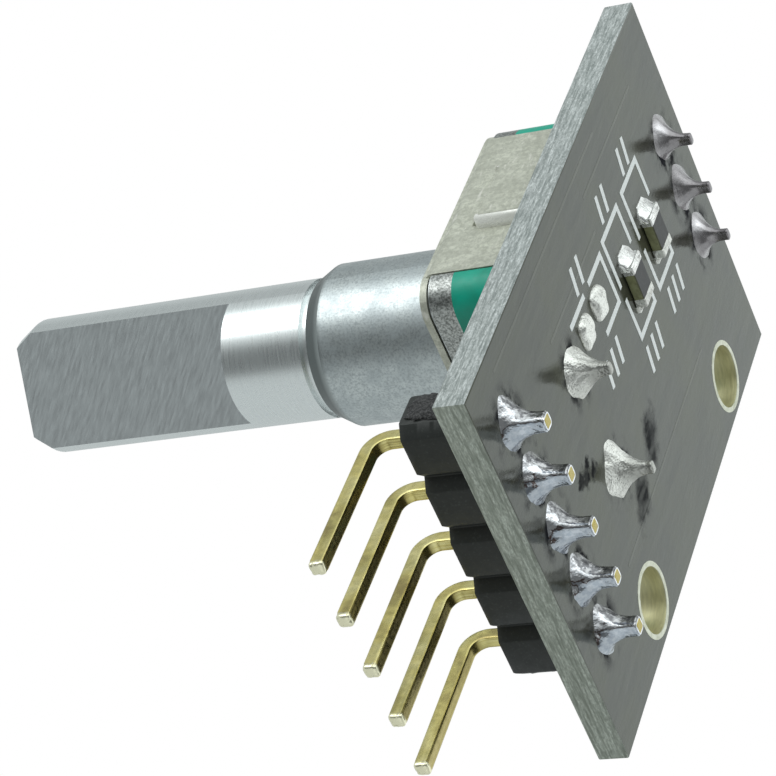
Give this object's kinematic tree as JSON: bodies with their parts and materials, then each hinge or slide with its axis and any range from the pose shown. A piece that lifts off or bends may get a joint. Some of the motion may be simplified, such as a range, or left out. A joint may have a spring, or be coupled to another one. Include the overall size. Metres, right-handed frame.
{
  "type": "rotary encoder module",
  "caption": "Rotary encoder with a D shaft and push switch on a small carrier board, with a bent pin header along one edge.",
  "frame": {"origin": "on the shaft axis, in the top face of the frame's plate, where a panel would sit", "axes": "+Z along the shaft towards its tip; the bent header pins point to -Y; the mounting holes are on the -X side"},
  "size_m": [0.0178, 0.0307, 0.0304],
  "materials": {
    "board_laminate": "dark grey satin solder mask on glass-fibre board",
    "black_plastic": "fine-grained black moulding",
    "gold_plate": "gold-plated, bright",
    "solder": "bright tin solder with a skin of flux",
    "terminal_metal": "tinned stamped strip",
    "resistor_ceramic": "black glazed",
    "resistor_cap": "tinned",
    "frame_steel": "satin plated sheet",
    "cast_zinc": "fine-turned casting, satin",
    "green_plastic": "satin green moulding",
    "shaft_metal": "bright turned, milled flat",
    "spring_steel": "bright spring sheet",
    "inner_plastic": "natural moulding"
  },
  "bodies": {
    "root": {"circuit_board": "board_laminate", "header_body": "black_plastic", "switch_base": "black_plastic", "header_pin_1": "gold_plate", "header_pin_2": "gold_plate", "header_pin_3": "gold_plate", "header_pin_4": "gold_plate", "header_pin_5": "gold_plate", "header_solder_1": "solder", "header_solder_2": "solder", "header_solder_3": "solder", "header_solder_4": "solder", "header_solder_5": "solder", "encoder_solder_a": "solder", "encoder_solder_common": "solder", "encoder_solder_b": "solder", "switch_solder_1": "solder", "switch_solder_2": "solder", "resistor_2_solder": "solder", "resistor_3_solder": "solder", "empty_pad_solder": "solder", "encoder_terminal_a": "terminal_metal", "encoder_terminal_common": "terminal_metal", "encoder_terminal_b": "terminal_metal", "switch_terminal_1": "terminal_metal", "switch_terminal_2": "terminal_metal", "resistor_2_body": "resistor_ceramic", "resistor_3_body": "resistor_ceramic", "resistor_2_caps": "resistor_cap", "resistor_3_caps": "resistor_cap", "frame": "frame_steel", "bushing_housing": "cast_zinc", "encoder_housing": "green_plastic", "snap_dome": "spring_steel"},
    "rotor": {"rotor": "inner_plastic", "code_disc": "terminal_metal", "detent_spring": "spring_steel"},
    "shaft": {"shaft": "shaft_metal", "retaining_ring": "spring_steel"},
    "plunger": {"plunger": "inner_plastic"}
  },
  "joints": [
    {"name": "shaft_spin", "type": "hinge", "parent": "root", "child": "rotor", "pos_m": [0, 0, 0], "axis": [0, 0, 1], "continuous": true},
    {"name": "shaft_push", "type": "slide", "parent": "rotor", "child": "shaft", "axis": [0, 0, -1], "range_m": [0, 0.0005], "stiffness_N_per_m": 8000, "springref_m": -0.00025},
    {"name": "plunger_push", "type": "slide", "parent": "root", "child": "plunger", "axis": [0, 0, -1], "range_m": [0, 0.0005], "deforming": ["snap_dome"]}
  ],
  "couplings": [
    {"joint": "plunger_push", "follows": "shaft_push", "ratio": 1}
  ]
}
